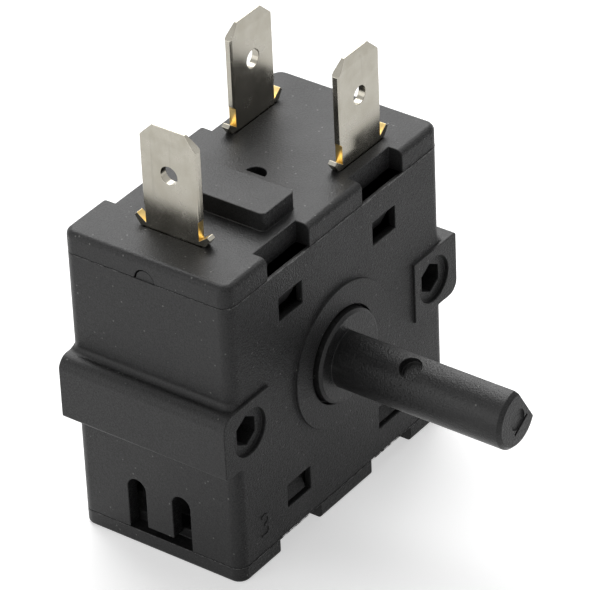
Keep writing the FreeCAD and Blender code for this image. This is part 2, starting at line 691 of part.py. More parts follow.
def common_terminal():
    """Left tab that widens below the cover and bends into the foot of both blades."""
    span = TRACKS["rear"] - TRACKS["front"] + BLADE_WIDTH + 2 * FOOT_MARGIN
    leg = bent_strip(span, TOP_JOINT - SHOULDER_HEIGHT, FOOT_END_X - COMMON_TAB_X, FOOT_BOTTOM, 1)
    terminal = tab_blade().fuse([tab_shoulder(), leg])
    terminal.rotate(Vector(0, 0, 0), Vector(0, 0, 1), -90)
    terminal.translate(Vector(COMMON_TAB_X, MIDDLE, 0))
    for y in TRACKS.values():
        terminal = terminal.cut(rod_z(RIVET_R, (FOOT_BOTTOM, BLADE_BOTTOM), RIVET_X, y))
    return terminal.removeSplitter()


# Contacts, blades and rivets

def contact_blade(y):
    """Flat spring from the common foot to past the contact."""
    blade = box((BLADE_ROOT_X, OUTPUT_TAB_X + BLADE_TIP_PAST_CONTACT), around(y, BLADE_WIDTH),
                (BLADE_BOTTOM, BLADE_TOP))
    blade = blade.cut(rod_z(RIVET_R, (BLADE_BOTTOM, BLADE_TOP), RIVET_X, y))
    return blade.cut(rod_z(CONTACT_SHANK_R, (BLADE_BOTTOM, BLADE_TOP), OUTPUT_TAB_X, y))


def contact_button(y, face, carrier, thickness):
    """Riveted contact: head from its face to the carrier, shank through it, upset beyond it."""
    away = 1 if carrier > face else -1
    head = rod_z(CONTACT_R, sorted((face, carrier)), OUTPUT_TAB_X, y)
    far = carrier + away * thickness
    shank = rod_z(CONTACT_SHANK_R, sorted((carrier, far)), OUTPUT_TAB_X, y)
    upset = rod_z(CONTACT_UPSET_R, sorted((far, far + away * CONTACT_UPSET)), OUTPUT_TAB_X, y)
    return head.fuse([shank, upset]).removeSplitter()


def moving_contact(name):
    return contact_button(TRACKS[name], MOVING_FACE, BLADE_TOP, BLADE_THICKNESS)


def fixed_contact(name):
    face = MOVING_FACE + CONTACT_GAP[name]
    return contact_button(TRACKS[name], face, face + CONTACT_HEAD, TAB_THICKNESS)


def blade_rivets():
    """One rivet per blade through the common foot."""
    rivets = []
    for y in TRACKS.values():
        shank = rod_z(RIVET_R, (FOOT_BOTTOM, BLADE_TOP), RIVET_X, y)
        lower = rod_z(RIVET_HEAD_R, (FOOT_BOTTOM - RIVET_HEAD, FOOT_BOTTOM), RIVET_X, y)
        upper = rod_z(RIVET_HEAD_R, (BLADE_TOP, BLADE_TOP + RIVET_HEAD), RIVET_X, y)
        rivets.append(shank.fuse([lower, upper]).removeSplitter())
    return Part.makeCompound(rivets)


# Pushers and detent spring

def pusher(y):
    """Square plunger with a rounded foot on its cam and a flat top under its blade."""
    foot = CAM_BASE_R + CAM_CLEARANCE
    centre = foot + PUSHER_TIP_R
    stem = box(around(0, PUSHER_SIDE), around(y, PUSHER_SIDE), (centre, BLADE_BOTTOM - PUSHER_CLEARANCE))
    return stem.fuse(rod_y(PUSHER_TIP_R, around(y, PUSHER_SIDE), 0, centre)).removeSplitter()


def detent_spring():
    """Bowed leaf whose rounded nose rests in the star's lowest notch."""
    nose_top = -(STAR_R - STAR_NOTCH_DEPTH) - DETENT_NOSE_GAP
    outer = DETENT_NOSE_R
    inner = DETENT_NOSE_R - DETENT_THICKNESS
    centre = nose_top - outer
    seat = DETENT_SEAT_Z
    y = around(MIDDLE, DETENT_WIDTH)
    shoulder = centre - DETENT_NOSE_R
    bend = DETENT_SEAT_X - DETENT_END_LENGTH
    nose = rod_y(outer, y, 0, centre).cut(rod_y(inner, y, 0, centre))
    nose = nose.cut(box((-outer, outer), y, (centre - outer, centre)))
    parts = [nose]
    for side in (-1, 1):
        cheek = sorted((side * inner, side * outer))
        parts.append(box(cheek, y, (shoulder, centre)))
        arm = [(side * inner, shoulder), (side * outer, shoulder + DETENT_THICKNESS),
               (side * bend, seat + DETENT_THICKNESS), (side * bend, seat)]
        parts.append(prism_y(arm, y))
        parts.append(box(sorted((side * bend, side * (DETENT_SEAT_X + DETENT_END_LENGTH - END_PLAY))), y,
                         (seat, seat + DETENT_THICKNESS)))
    return parts[0].fuse(parts[1:]).removeSplitter()


def build():
    nodes = {
        "main_body": main_body(),
        "top_cover": top_cover(),
        "bottom_cover": bottom_cover(),
        "camshaft": camshaft(),
        "retaining_fork": retaining_fork(),
        "common_terminal": common_terminal(),
        "blade_rivets": blade_rivets(),
        "detent_spring": detent_spring(),
    }
    for name, y in TRACKS.items():
        nodes[name + "_terminal"] = output_terminal(name)
        nodes[name + "_contact_blade"] = contact_blade(y)
        nodes[name + "_moving_contact"] = moving_contact(name)
        nodes[name + "_fixed_contact"] = fixed_contact(name)
        nodes[name + "_pusher"] = pusher(y)
    os.makedirs("parts", exist_ok=True)
    for name, shape in nodes.items():
        shape.exportStep("parts/" + name + ".step")
        box_size = shape.BoundBox
        print(name, len(shape.Solids), shape.isValid(), round(shape.Volume, 2),
              [round(v, 2) for v in (box_size.XMin, box_size.XMax, box_size.YMin, box_size.YMax,
                                     box_size.ZMin, box_size.ZMax)])
    return nodes


build()
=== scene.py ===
import math

import bmesh
import bpy
from mathutils import Matrix, Vector
from mathutils.bvhtree import BVHTree


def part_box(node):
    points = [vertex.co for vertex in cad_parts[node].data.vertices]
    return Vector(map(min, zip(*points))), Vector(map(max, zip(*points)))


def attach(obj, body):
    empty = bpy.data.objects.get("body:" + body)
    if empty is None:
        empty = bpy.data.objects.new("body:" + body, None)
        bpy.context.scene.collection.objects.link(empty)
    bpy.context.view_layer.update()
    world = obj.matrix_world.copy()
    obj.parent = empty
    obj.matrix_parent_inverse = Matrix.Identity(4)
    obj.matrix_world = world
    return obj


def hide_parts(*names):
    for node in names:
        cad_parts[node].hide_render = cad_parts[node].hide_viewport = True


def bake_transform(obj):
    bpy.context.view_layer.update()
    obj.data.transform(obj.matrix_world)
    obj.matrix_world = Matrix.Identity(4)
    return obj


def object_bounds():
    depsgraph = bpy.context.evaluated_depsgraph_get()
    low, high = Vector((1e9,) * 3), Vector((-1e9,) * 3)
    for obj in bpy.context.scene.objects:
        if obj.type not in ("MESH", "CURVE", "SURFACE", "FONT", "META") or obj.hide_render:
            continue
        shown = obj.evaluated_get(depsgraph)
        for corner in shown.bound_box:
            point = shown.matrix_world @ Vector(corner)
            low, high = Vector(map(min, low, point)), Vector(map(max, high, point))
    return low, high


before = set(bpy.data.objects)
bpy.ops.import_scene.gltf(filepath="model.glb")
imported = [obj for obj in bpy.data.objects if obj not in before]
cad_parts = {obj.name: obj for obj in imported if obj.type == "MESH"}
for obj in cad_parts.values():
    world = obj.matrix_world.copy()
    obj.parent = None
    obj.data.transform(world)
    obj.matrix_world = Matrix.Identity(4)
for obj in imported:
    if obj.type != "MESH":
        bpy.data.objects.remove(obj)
cad_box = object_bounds()
mm = 0.001


# Camera.
# It stands about 420 mm away, in front of the switch, to its left and above it, with a long lens.

def in_scene(name, data):
    """A new object that holds some data, linked to the scene."""
    thing = bpy.data.objects.new(name, data)
    bpy.context.scene.collection.objects.link(thing)
    return thing


camera_place = Vector((-277.1, -205.5, 238.9)) * mm
camera_right = Vector((0.58431, -0.81063, -0.03827))
camera_down = Vector((-0.47184, -0.30098, -0.82872))
lens = bpy.data.cameras.new("long_lens")
lens.sensor_width = 36
lens.lens = 281.15
lens.clip_start = 10 * mm
turn = Matrix((camera_right, -camera_down, camera_down.cross(camera_right))).transposed()
camera = in_scene("camera", lens)
camera.matrix_world = Matrix.Translation(camera_place) @ turn.to_4x4()
bpy.context.scene.camera = camera
bpy.context.scene.view_settings.view_transform = "Standard"


# Table and room light.
# A white table top under the switch and an even white room round it. The table is seen white, with
# a pale, soft shadow of the switch.

def put(tree, kind, inputs=None, **settings):
    """A new node with its settings. Each input is a value or the output of another node."""
    node = tree.nodes.new(kind)
    for name, value in settings.items():
        setattr(node, name, value)
    for name, value in (inputs or {}).items():
        if isinstance(value, bpy.types.NodeSocket):
            tree.links.new(value, node.inputs[name])
        else:
            node.inputs[name].default_value = value
    return node


def maths(tree, operation, first, second):
    """The result of an operation on two values."""
    return put(tree, "ShaderNodeMath", {0: first, 1: second}, operation=operation).outputs[0]


def clear_tree(owner):
    """The empty node tree of a material or world."""
    owner.use_nodes = True
    owner.node_tree.nodes.clear()
    return owner.node_tree


def seen_directly(tree):
    """1 for what the camera sees itself or in a mirror or through glass, 0 for other light."""
    path = put(tree, "ShaderNodeLightPath").outputs
    mirrored = maths(tree, "MAXIMUM", path["Is Camera Ray"], path["Is Glossy Ray"])
    return maths(tree, "MAXIMUM", mirrored, path["Is Transmission Ray"])


table_size = 4.0
table_white = 0.8
table_lift = 0.55
room_strength = 0.14
room_seen = 1.0
white = (1, 1, 1, 1)

reach = table_size / 2
corners = [(x * reach, y * reach, cad_box[0][2]) for x, y in ((-1, -1), (1, -1), (1, 1), (-1, 1))]
table_mesh = bpy.data.meshes.new("table")
table_mesh.from_pydata(corners, [], [(0, 1, 2, 3)])
table_paint = bpy.data.materials.new("white_table")
tree = clear_tree(table_paint)
paint = put(tree, "ShaderNodeBsdfDiffuse", {"Color": (table_white, table_white, table_white, 1)})
glow = put(tree, "ShaderNodeEmission",
           {"Strength": maths(tree, "MULTIPLY", seen_directly(tree), table_lift)})
both = put(tree, "ShaderNodeAddShader", {0: paint.outputs[0], 1: glow.outputs[0]})
put(tree, "ShaderNodeOutputMaterial", {"Surface": both.outputs[0]})
table_mesh.materials.append(table_paint)
table = in_scene("table", table_mesh)

room = bpy.data.worlds.new("white_room")
bpy.context.scene.world = room
tree = clear_tree(room)
ambient = put(tree, "ShaderNodeBackground", {"Color": white, "Strength": room_strength})
seen = put(tree, "ShaderNodeBackground", {"Color": white, "Strength": room_seen})
choice = put(tree, "ShaderNodeMixShader",
             {0: seen_directly(tree), 1: ambient.outputs[0], 2: seen.outputs[0]})
put(tree, "ShaderNodeOutputWorld", {"Surface": choice.outputs[0]})


# Lamps.
# Two wide soft boxes hang above the switch, behind it and to its right, and a smaller one lights
# its left side. Each has its place and size in metres and its power in watts.

soft_boxes = {"back_soft_box": ((0.85, 0.62, 0.80), 1.3, 3.0),
              "high_soft_box": ((0.43, 0.42, 0.85), 0.9, 11.8),
              "left_soft_box": ((-0.95, 0.35, 0.30), 0.8, 2.8)}
for name, (place, size, power) in soft_boxes.items():
    lamp = bpy.data.lights.new(name, "AREA")
    lamp.shape = "SQUARE"
    lamp.size = size
    lamp.energy = power
    turn = (-Vector(place)).to_track_quat("-Z", "Y").to_matrix().to_4x4()
    in_scene(name, lamp).matrix_world = Matrix.Translation(Vector(place)) @ turn


# Moulded case.
# One black moulding, open above and below, with two screw ears and a raised disc round the shaft.
# Its front and top are spark-eroded to a fine grain in the mould; the sides are smoother.

edge_rings = 3
blunt_angle = math.radians(30)
flat_angle = math.radians(0.3)
smooth_limit = math.cos(math.radians(50))
merge_distance = 0.001 * mm


def leading_normals(form):
    """For each point, the direction of the largest faces round it, so that flat faces stay flat."""
    sums = [Vector((0, 0, 0)) for _ in form.verts]
    for face in form.faces:
        share = (face.calc_area() / mm ** 2) ** 2
        for vertex in face.verts:
            sums[vertex.index] += face.normal * share
    return [total.normalized() for total in sums]


def rounded_copy(node, name, edge_radius, reshape=None, least_angle=blunt_angle):
    """Copy of a solid, reshaped if need be, with its edges rounded as a mould or drum does it."""
    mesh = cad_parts[node].data.copy()
    if "custom_normal" in mesh.attributes:
        mesh.attributes.remove(mesh.attributes["custom_normal"])
    form = bmesh.new()
    form.from_mesh(mesh)
    bmesh.ops.remove_doubles(form, verts=form.verts, dist=merge_distance)
    bmesh.ops.dissolve_limit(form, angle_limit=flat_angle, verts=form.verts, edges=form.edges)
    if reshape:
        reshape(form)
    sharp = [e for e in form.edges if e.is_manifold and e.calc_face_angle() > least_angle]
    bmesh.ops.bevel(form, geom=sharp, offset=edge_radius, segments=edge_rings, profile=0.5,
                    affect="EDGES", clamp_overlap=False)
    form.verts.index_update()
    form.normal_update()
    normals = leading_normals(form)
    bmesh.ops.triangulate(form, faces=[f for f in form.faces if len(f.verts) > 4])
    form.to_mesh(mesh)
    form.free()
    mesh.materials.clear()
    mesh.shade_smooth()
    corner_normals = []
    for face in mesh.polygons:
        for index in face.vertices:
            near = normals[index].dot(face.normal) > smooth_limit
            corner_normals.append(normals[index] if near else face.normal)
    mesh.normals_split_custom_set(corner_normals)
    return in_scene(name, mesh)


def remap(tree, value, low, high, to_low=0.0, to_high=1.0):
    """A value brought from one range to another and kept inside it."""
    return put(tree, "ShaderNodeMapRange", {"Value": value, "From Min": low, "From Max": high,
                                            "To Min": to_low, "To Max": to_high}).outputs[0]


def mixed(tree, share, first, second):
    """The first colour with a share of the second in it."""
    return put(tree, "ShaderNodeMix", {0: share, 6: first, 7: second}, data_type="RGBA").outputs[2]


def noise(tree, place, scale, detail, roughness=0.5):
    """Fractal noise at a place."""
    return put(tree, "ShaderNodeTexNoise", {"Vector": place, "Scale": scale, "Detail": detail,
                                            "Roughness": roughness}).outputs[0]


def stretched(tree, place, scale, rotation=(0, 0, 0)):
    """A place turned and then scaled along each axis."""
    return put(tree, "ShaderNodeMapping",
               {"Vector": place, "Scale": scale, "Rotation": rotation}).outputs[0]


def spots(tree, place, scale, rim, core, left_out, strength):
    """Round spots in some cells of a pattern: nothing past the rim, full strength in the core."""
    cells = put(tree, "ShaderNodeTexVoronoi", {"Vector": place, "Scale": scale}).outputs
    spot = remap(tree, cells["Distance"], rim, core, 0.0, strength)
    chance = put(tree, "ShaderNodeSeparateColor", {0: cells["Color"]}).outputs[0]
    return maths(tree, "MULTIPLY", spot, maths(tree, "GREATER_THAN", chance, left_out))


grain_scale = 7600.0
pit_scale = 5600.0
flow_scale = 160.0
speck_scale = 1300.0
rub_stretch = (900.0, 160.0, 900.0)
grain_height = 0.05 * mm
top_grain_share = 0.58
front_shine_share = 0.5
# How much paler the base colour of faces towards -Y is made: painted light in place of the
# reflection their lowered shine takes away.
front_painted_light = 1.8
# How squarely a face looks forward, from where the front's look begins to where it is full.
towards_front = (0.5, 0.95)
# The used part of each noise, and how much darker and lighter it makes the colour.
flow_range, flow_shades = (0.3, 0.7), (0.8, 1.2)
grain_range, grain_shades = (0.34, 0.66), (0.2, 1.9)
rub_range = (0.56, 0.72)
# How far the flow marks lower and raise the roughness.
glossier, duller = 0.05, 0.07
rubbed_grey = (0.11, 0.11, 0.108, 1)
speck_grey = (0.13, 0.13, 0.125, 1)


def moulded_plastic(name, colour, roughness, front_grain, side_grain, scuffed=0.0, shine=0.29):
    """Moulded plastic: eroded grain on faces towards -Y and +Z, flow marks, rubs and specks, and
    painted light: a paler base colour on faces towards -Y.
    """
    material = bpy.data.materials.new(name)
    tree = clear_tree(material)
    coordinates = put(tree, "ShaderNodeTexCoord").outputs
    place = coordinates["Object"]

    facing = put(tree, "ShaderNodeSeparateXYZ", {0: coordinates["Normal"]}).outputs
    forward = maths(tree, "MULTIPLY", facing["Y"], -1.0)
    upward = maths(tree, "MULTIPLY", facing["Z"], top_grain_share)
    depth = remap(tree, maths(tree, "MAXIMUM", forward, upward), *towards_front,
                  side_grain, front_grain)
    grain = noise(tree, place, grain_scale, detail=3.0, roughness=0.65)
    pits = put(tree, "ShaderNodeTexVoronoi", {"Vector": place, "Scale": pit_scale},
               feature="SMOOTH_F1").outputs["Distance"]
    height = maths(tree, "MULTIPLY", maths(tree, "ADD", grain, pits), depth)
    bump = put(tree, "ShaderNodeBump",
               {"Height": height, "Strength": 1.0, "Distance": grain_height})

    flow = noise(tree, place, flow_scale, detail=5.0, roughness=0.6)
    shade = maths(tree, "MULTIPLY", remap(tree, flow, *flow_range, *flow_shades),
                  remap(tree, grain, *grain_range, *grain_shades))
    # Faces towards -Y get a paler base colour: painted light, standing in for the reflection their
    # lower shine takes away.
    shade_with_painted_front_light = maths(tree, "MULTIPLY", shade,
                  remap(tree, forward, *towards_front, 1.0, front_painted_light))
    base = put(tree, "ShaderNodeVectorMath", {0: colour, "Scale": shade_with_painted_front_light}, operation="SCALE")
    rubs = noise(tree, stretched(tree, place, rub_stretch), 1.0, detail=5.0, roughness=0.7)
    worn = mixed(tree, remap(tree, rubs, *rub_range, 0.0, scuffed), base.outputs[0], rubbed_grey)
    specks = spots(tree, place, speck_scale, rim=0.15, core=0.08, left_out=0.72, strength=1.0)
    plastic = put(tree, "ShaderNodeBsdfPrincipled", {
        "Base Color": mixed(tree, specks, worn, speck_grey),
        "Roughness": remap(tree, flow, *flow_range, roughness - glossier, roughness + duller),
        "Specular IOR Level": remap(tree, forward, *towards_front,
                                    shine, front_shine_share * shine),
        "IOR": 1.5, "Normal": bump.outputs[0]})
    put(tree, "ShaderNodeOutputMaterial", {"Surface": plastic.outputs[0]})
    return material


def dress(piece, material, body, slot, *nodes, bending=()):
    """Gives a piece its material, hides the nodes it stands for and hangs it on its body; with a
    bending it is fixed where it stands.
    """
    piece.data.materials.clear()
    piece.data.materials.append(material)
    if bending:
        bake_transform(piece)
    else:
        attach(piece, body)
    if nodes:
        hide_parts(*nodes)


case_black = moulded_plastic("case_black", (0.0155, 0.0155, 0.0157), roughness=0.43,
                             front_grain=1.0, side_grain=0.3)
moulded_edge = 0.10 * mm
case = rounded_copy("main_body", "moulded_case", moulded_edge)
dress(case, case_black, "case", "case_plastic", "main_body")


# Cavity number.
# A plain 3, raised by a hair on the lower left of the front, tells the mould's cavities apart. It
# is moulded with the case.

number_height = 2.6 * mm
number_relief = 0.04 * mm
number_edge = 0.03 * mm
number_thinning = 0.07 * mm
number_place = Vector((-12.5, 0.3, -11.55)) * mm
font_size_share = 1.4


def plain_mesh(holder):
    """What an object looks like with its text or modifiers worked out, as a mesh of its own."""
    graph = bpy.context.evaluated_depsgraph_get()
    return bpy.data.meshes.new_from_object(holder.evaluated_get(graph), depsgraph=graph)


figure = bpy.data.curves.new("cavity_number", "FONT")
figure.body = "3"
figure.size = number_height * font_size_share
figure.extrude = number_relief
figure.bevel_depth = number_edge
figure.offset = -number_thinning
flat_number = in_scene("cavity_number", figure)
number_mesh = plain_mesh(flat_number)
bpy.data.objects.remove(flat_number)
middle = sum((vertex.co for vertex in number_mesh.vertices), Vector()) / len(number_mesh.vertices)
middle.z = 0
upright = Matrix.Translation(number_place) @ Matrix.Rotation(math.radians(90), 4, "X")
number_mesh.transform(upright @ Matrix.Translation(-middle))
number = in_scene("raised_cavity_number", number_mesh)
dress(number, case_black, "case", "case_plastic")


# Top and bottom covers.
# Black mouldings that snap into the case with four hooks each. The top one carries a raised block
# and a half-moon vent.

top = rounded_copy("top_cover", "moulded_top_cover", moulded_edge)
dress(top, case_black, "case", "case_plastic", "top_cover")
bottom = rounded_copy("bottom_cover", "moulded_bottom_cover", moulded_edge)
dress(bottom, case_black, "case", "case_plastic", "bottom_cover")


# Flash along the joints.
# Where the covers meet the case, on its sides and front, the mould has left a thin, ragged bead.
# Its paler grey is a painted highlight along the joints.

def geometry_tree(name, **sizes):
    """A Geometry Nodes tree with a named input for each size, and what its first node gives."""
    tree = bpy.data.node_groups.new(name, "GeometryNodeTree")
    tree.interface.new_socket("Geometry", in_out="INPUT", socket_type="NodeSocketGeometry")
    for size, kind in sizes.items():
        tree.interface.new_socket(size, in_out="INPUT", socket_type="NodeSocket" + kind)
    tree.interface.new_socket("Geometry", in_out="OUTPUT", socket_type="NodeSocketGeometry")
    return tree, put(tree, "NodeGroupInput").outputs


def end_tree(tree, geometry, material):
    """Makes a tree's instances real, gives them their material and hands them out."""
    real = put(tree, "GeometryNodeRealizeInstances", {0: geometry})
    coated = put(tree, "GeometryNodeSetMaterial", {"Geometry": real.outputs[0],
                                                   "Material": material})
    put(tree, "NodeGroupOutput", {"Geometry": coated.outputs[0]})


def grown(name, mesh, tree, **values):
    """The piece that a Geometry Nodes tree makes from a mesh, as a plain mesh."""
    piece = in_scene(name, mesh)
    modifier = piece.modifiers.new(name, "NODES")
    modifier.node_group = tree
    for socket in tree.interface.items_tree:
        if socket.in_out == "INPUT" and socket.name in values:
            modifier[socket.identifier] = values[socket.name]
    made = plain_mesh(piece)
    piece.modifiers.clear()
    piece.data = made
    return piece


ragged_scale = 1400.0
ragged_range, swell_range = (0.42, 0.68), (0.25, 1.3)
ring_points = 6

flash_tree, given = geometry_tree("flash_bead", Thickness="Float", Spacing="Float", Seed="Float",
                                  Plastic="Material")
path = put(flash_tree, "GeometryNodeMeshToCurve", {"Mesh": given["Geometry"]})
even = put(flash_tree, "GeometryNodeResampleCurve",
           {"Curve": path.outputs[0], "Length": given["Spacing"]}, mode="LENGTH")
where = put(flash_tree, "GeometryNodeInputPosition")
ragged = put(flash_tree, "ShaderNodeTexNoise",
             {"Vector": where.outputs[0], "W": given["Seed"], "Scale": ragged_scale,
              "Detail": 2.0}, noise_dimensions="4D")
swell = remap(flash_tree, ragged.outputs[0], *ragged_range, *swell_range)
ring = put(flash_tree, "GeometryNodeCurvePrimitiveCircle",
           {"Resolution": ring_points, "Radius": 1.0})
bead = put(flash_tree, "GeometryNodeCurveToMesh",
           {"Curve": even.outputs[0], "Profile Curve": ring.outputs[0],
            "Scale": maths(flash_tree, "MULTIPLY", swell, given["Thickness"])})
end_tree(flash_tree, bead.outputs[0], given["Plastic"])

joint_above = 13.85 * mm
joint_below = -14.55 * mm
corner_round = 1.2 * mm
corner_steps = 6
key_half_width = 1.25 * mm
bead_out = 0.012 * mm
bead_spacing = 0.07 * mm

cover_low, cover_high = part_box("top_cover")
front_y = cover_low[1] - bead_out
back_y = cover_high[1] - corner_round
half_depth = (cover_low[1] + cover_high[1]) / 2


def wall_x(side):
    """Where a bead lies on the left wall, side -1, or on the right wall, side 1."""
    return cover_high[0] + bead_out if side > 0 else cover_low[0] - bead_out


def side_lines(side, level, gap):
    """A line along each half of a side wall, from its rounded front corner to the back one."""
    halves = ((front_y + corner_round, half_depth - gap), (half_depth + gap, back_y))
    return [[(wall_x(side), y, level) for y in half] for half in halves]


def front_line(level):
    """A line along the front wall and round both its corners."""
    line = []
    for side in (-1, 1):
        centre = wall_x(side) - side * corner_round
        angles = [math.radians(90 * step / corner_steps) for step in range(corner_steps + 1)]
        corner = [(centre + side * corner_round * math.cos(angle),
                   front_y + corner_round * (1 - math.sin(angle)), level) for angle in angles]
        line += corner if side < 0 else corner[::-1]
    return line


def flash_along(name, lines, thickness, seed):
    """Flash bead along some lines, as a piece of the case."""
    points, edges = [], []
    for line in lines:
        edges += [(len(points) + i, len(points) + i + 1) for i in range(len(line) - 1)]
        points += line
    paths = bpy.data.meshes.new(name)
    paths.from_pydata(points, edges, [])
    flash = grown(name, paths, flash_tree, Thickness=thickness, Spacing=bead_spacing, Seed=seed,
                  Plastic=flash_painted_highlight)
    flash.data.shade_smooth()
    dress(flash, flash_painted_highlight, "case", "case_plastic")


# The bead's pale grey is a painted highlight along the joints, not a colour of the plastic.
flash_painted_highlight = moulded_plastic("flash_painted_highlight", (0.11, 0.11, 0.109), roughness=0.5,
                             front_grain=0.3, side_grain=0.3)
both_sides = [line for side in (-1, 1)
              for line in side_lines(side, joint_above, key_half_width)
              + side_lines(side, joint_below, 0.0)]
flash_along("side_joint_flash", both_sides, thickness=0.045 * mm, seed=4.0)
flash_along("front_joint_flash", [front_line(joint_above)], thickness=0.085 * mm, seed=9.0)
flash_along("lower_joint_flash", [front_line(joint_below)], thickness=0.05 * mm, seed=2.0)


# Camshaft.
# One black moulding: the D-shaped end that takes a knob, the collar in the case's bore, and the
# cams and detent star inside.

shaft_black = moulded_plastic("shaft_black", (0.011, 0.011, 0.0112), roughness=0.36,
                              front_grain=0.6, side_grain=0.45, scuffed=0.22, shine=0.33)
shaft = rounded_copy("camshaft", "moulded_camshaft", edge_radius=0.06 * mm)
dress(shaft, shaft_black, "shaft", "shaft_plastic", "camshaft")


# Dust.
# Pale flecks of dust and mould grit cling to the outside of the case and of its covers.

fleck_size = 0.034 * mm
least_shape, largest_shape = (0.4, 0.4, 0.3), (1.5, 1.0, 0.55)
fleck_points = 12
seat_slack = 0.004 * mm
axis_limit = 0.9
first_seed = 11

dust_tree, given = geometry_tree("clinging_dust", Density="Float", Size="Float", Seed="Int",
                                 Dust="Material")
scatter = put(dust_tree, "GeometryNodeDistributePointsOnFaces",
              {"Mesh": given["Geometry"], "Density": given["Density"], "Seed": given["Seed"]})
grit = put(dust_tree, "GeometryNodeMeshIcoSphere", {"Radius": 1.0, "Subdivisions": 1})
spread = put(dust_tree, "FunctionNodeRandomValue",
             {0: least_shape, 1: largest_shape, "Seed": given["Seed"]},
             data_type="FLOAT_VECTOR")
sized = put(dust_tree, "ShaderNodeVectorMath", {0: spread.outputs[0], "Scale": given["Size"]},
            operation="SCALE")
flecks = put(dust_tree, "GeometryNodeInstanceOnPoints",
             {"Points": scatter.outputs["Points"], "Rotation": scatter.outputs["Rotation"],
              "Instance": grit.outputs[0], "Scale": sized.outputs[0]})
end_tree(dust_tree, flecks.outputs[0], given["Dust"])


def outer_faces(name, nodes, planes):
    """The faces of CAD nodes that face along an axis and lie near a level on it, as one mesh."""
    form = bmesh.new()
    for node in nodes:
        form.from_mesh(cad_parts[node].data)
    form.normal_update()

    def shown(face):
        centre = face.calc_center_median()
        return any(face.normal[axis] * way > axis_limit and abs(centre[axis] - level) < slack
                   for axis, way, level, slack in planes)

    bmesh.ops.delete(form, geom=[f for f in form.faces if not shown(f)], context="FACES")
    mesh = bpy.data.meshes.new(name)
    form.to_mesh(mesh)
    form.free()
    return mesh


def keep_seated(dust, pieces):
    """Removes the flecks that lie past the flat part of a face, where its edge is rounded away."""
    surfaces = []
    for piece in pieces:
        form = bmesh.new()
        form.from_mesh(piece.data)
        surfaces.append(BVHTree.FromBMesh(form))
        form.free()
    form = bmesh.new()
    form.from_mesh(dust.data)
    form.verts.ensure_lookup_table()
    hanging = []
    for start in range(0, len(form.verts), fleck_points):
        fleck = form.verts[start:start + fleck_points]
        centre = sum((vertex.co for vertex in fleck), Vector()) / fleck_points
        if min(surface.find_nearest(centre)[3] for surface in surfaces) > seat_slack:
            hanging += fleck
    bmesh.ops.delete(form, geom=hanging, context="VERTS")
    form.to_mesh(dust.data)
    form.free()


dust_grey = moulded_plastic("dust_grey", (0.14, 0.14, 0.136), roughness=0.7,
                            front_grain=0.3, side_grain=0.3)
# Flecks to the square millimetre, and where they lie: axis, way, level and slack.
dusty_skins = {"side_dust": (0.10, [(0, -1, cover_low[0], 0.1 * mm),
                                    (0, 1, cover_high[0], 0.1 * mm)]),
               "front_dust": (0.55, [(1, -1, cover_low[1], 0.35 * mm)]),
               "top_dust": (0.22, [(2, 1, cover_high[2], 2.0 * mm)])}
for seed, (name, (per_square_mm, planes)) in enumerate(dusty_skins.items(), first_seed):
    skin = outer_faces(name, ("main_body", "top_cover", "bottom_cover"), planes)
    dust = grown(name, skin, dust_tree, Density=per_square_mm / mm ** 2, Size=fleck_size,
                 Seed=seed, Dust=dust_grey)
    keep_seated(dust, (case, top, bottom))
    dress(dust, dust_grey, "case", "case_plastic")


# Push-on tabs.
# Three stamped brass tabs, nickel-plated before their barbs are sheared and bent out of the edges,
# so the sheared faces show bare brass.

across_rolling = 2600.0
along_rolling = 90.0
rolling_height = 0.004 * mm
rolling_strength = 0.35
cloud_scale = 420.0
stain_scale = 620.0
stain_shade = 0.45
scratch_stretch = (2100.0, 2100.0, 60.0)
scratch_turn = (0.5, 0.35, 0.6)
scratch_share = 0.2
cloud_range = (0.35, 0.62)
gloss_range = (0.3, 0.7)
scratch_range = (0.70, 0.76)


def sheet_metal(name, light, dark, roughness, rolled_along, worn=0.0):
    """Rolled sheet: drawn lines along one axis, cloudy colour, uneven gloss and small stains."""
    material = bpy.data.materials.new(name)
    tree = clear_tree(material)
    place = put(tree, "ShaderNodeTexCoord").outputs["Object"]
    stretch = [along_rolling if axis == rolled_along else across_rolling for axis in "XYZ"]
    lines = noise(tree, stretched(tree, place, stretch), 1.0, detail=4.0, roughness=0.6)
    bump = put(tree, "ShaderNodeBump",
               {"Height": lines, "Strength": rolling_strength, "Distance": rolling_height})

    clouds = noise(tree, place, cloud_scale, detail=5.0, roughness=0.6)
    colour = mixed(tree, remap(tree, clouds, *cloud_range), (*dark, 1), (*light, 1))
    handling = noise(tree, stretched(tree, place, scratch_stretch, scratch_turn), 1.0, detail=1.0)
    scratches = remap(tree, handling, *scratch_range, 0.0, scratch_share * worn)
    stains = spots(tree, place, stain_scale, rim=0.14, core=0.03, left_out=0.86, strength=worn)
    stain_colour = (*(stain_shade * value for value in dark), 1)
    metal = put(tree, "ShaderNodeBsdfPrincipled", {
        "Base Color": mixed(tree, maths(tree, "MAXIMUM", scratches, stains), colour, stain_colour),
        "Roughness": remap(tree, clouds, *gloss_range, *roughness),
        "Metallic": 1.0, "Normal": bump.outputs[0]})
    put(tree, "ShaderNodeOutputMaterial", {"Surface": metal.outputs[0]})
    return material


hole_cuts = 5
hole_slack = 0.15 * mm
wall_lean = 0.5
rim_lean = 0.1


